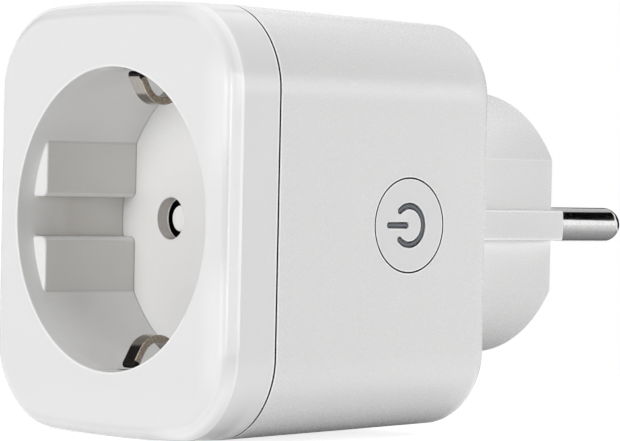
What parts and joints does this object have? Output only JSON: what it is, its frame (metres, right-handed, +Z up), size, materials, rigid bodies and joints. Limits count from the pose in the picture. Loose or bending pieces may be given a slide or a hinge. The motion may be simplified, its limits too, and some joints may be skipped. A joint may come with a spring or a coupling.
{
  "type": "plug-in power meter",
  "caption": "White plug-in power meter: a socket with earth clips on the front, a plug boss with round pins behind, and a flush side button that switches and meters the load.",
  "frame": {"origin": "under the middle of the part, on the surface that its crowned lower side rests on", "axes": "+Y from the socket face towards the plug pins, +Z up, +X towards the side button"},
  "size_m": [0.0494, 0.0846, 0.0569],
  "materials": {
    "cover": "smooth glossy white",
    "casing": "fine matt white",
    "button": "fine matt white",
    "legend": "grey translucent inlay",
    "shutter": "smooth white",
    "carrier": "black moulding",
    "component_black": "black",
    "board": "green solder mask",
    "yellow": "yellow box",
    "blue": "blue epoxy",
    "nickel": "nickel plate",
    "brass": "bare",
    "zinc_steel": "zinc plate"
  },
  "bodies": {
    "shell": {"front_cover": "cover", "rear_casing": "casing", "switch_board": "board", "switch_body": "component_black", "status_led": "legend", "plug_pin_left": "nickel", "plug_pin_right": "nickel", "plug_earth_strap_top": "nickel", "plug_earth_strap_bottom": "nickel", "plug_earth_socket": "brass", "earth_bridge": "brass", "socket_contact_left": "brass", "socket_contact_right": "brass", "shutter_spring": "zinc_steel", "contact_carrier": "carrier", "main_board": "board", "relay": "component_black", "film_capacitor": "yellow", "large_capacitor": "component_black", "small_capacitor": "component_black", "inductor": "component_black", "varistor": "blue", "radio_board": "board", "radio_shield": "zinc_steel", "meter_chip": "component_black", "rectifier": "component_black", "fuse_resistor": "blue", "current_shunt": "brass", "board_screw_left": "zinc_steel", "board_screw_right": "zinc_steel"},
    "button": {"power_button": "button", "button_legend_ring": "legend", "button_legend_bar": "legend"},
    "plunger": {"switch_plunger": "legend"},
    "shutter": {"shutter": "shutter"},
    "earth_clip_top": {"socket_earth_clip_top": "nickel"},
    "earth_clip_bottom": {"socket_earth_clip_bottom": "nickel"}
  },
  "joints": [
    {"name": "power_button_press", "type": "slide", "parent": "shell", "child": "button", "axis": [-1, 0, 0], "range_m": [0, 0.0005], "stiffness_N_per_m": 3000, "springref_m": -0.0001},
    {"name": "switch_plunger_press", "type": "slide", "parent": "shell", "child": "plunger", "axis": [-1, 0, 0], "range_m": [0, 0.0005]},
    {"name": "shutter_turn", "type": "hinge", "parent": "shell", "child": "shutter", "pos_m": [0, -0.02198, 0.02845], "axis": [0, 1, 0], "range_deg": [0, 32], "stiffness_Nm_per_rad": 0.004, "springref_deg": -8.59, "deforming": ["shutter_spring"]},
    {"name": "earth_clip_top_flex", "type": "hinge", "parent": "shell", "child": "earth_clip_top", "pos_m": [0, -0.02672, 0.0508], "axis": [-1, 0, 0], "range_deg": [0, 6], "stiffness_Nm_per_rad": 0.3, "springref_deg": -2.86},
    {"name": "earth_clip_bottom_flex", "type": "hinge", "parent": "shell", "child": "earth_clip_bottom", "pos_m": [0, -0.02672, 0.0061], "axis": [1, 0, 0], "range_deg": [0, 6], "stiffness_Nm_per_rad": 0.3, "springref_deg": -2.86}
  ],
  "couplings": [
    {"joint": "switch_plunger_press", "follows": "power_button_press", "ratio": 1}
  ]
}
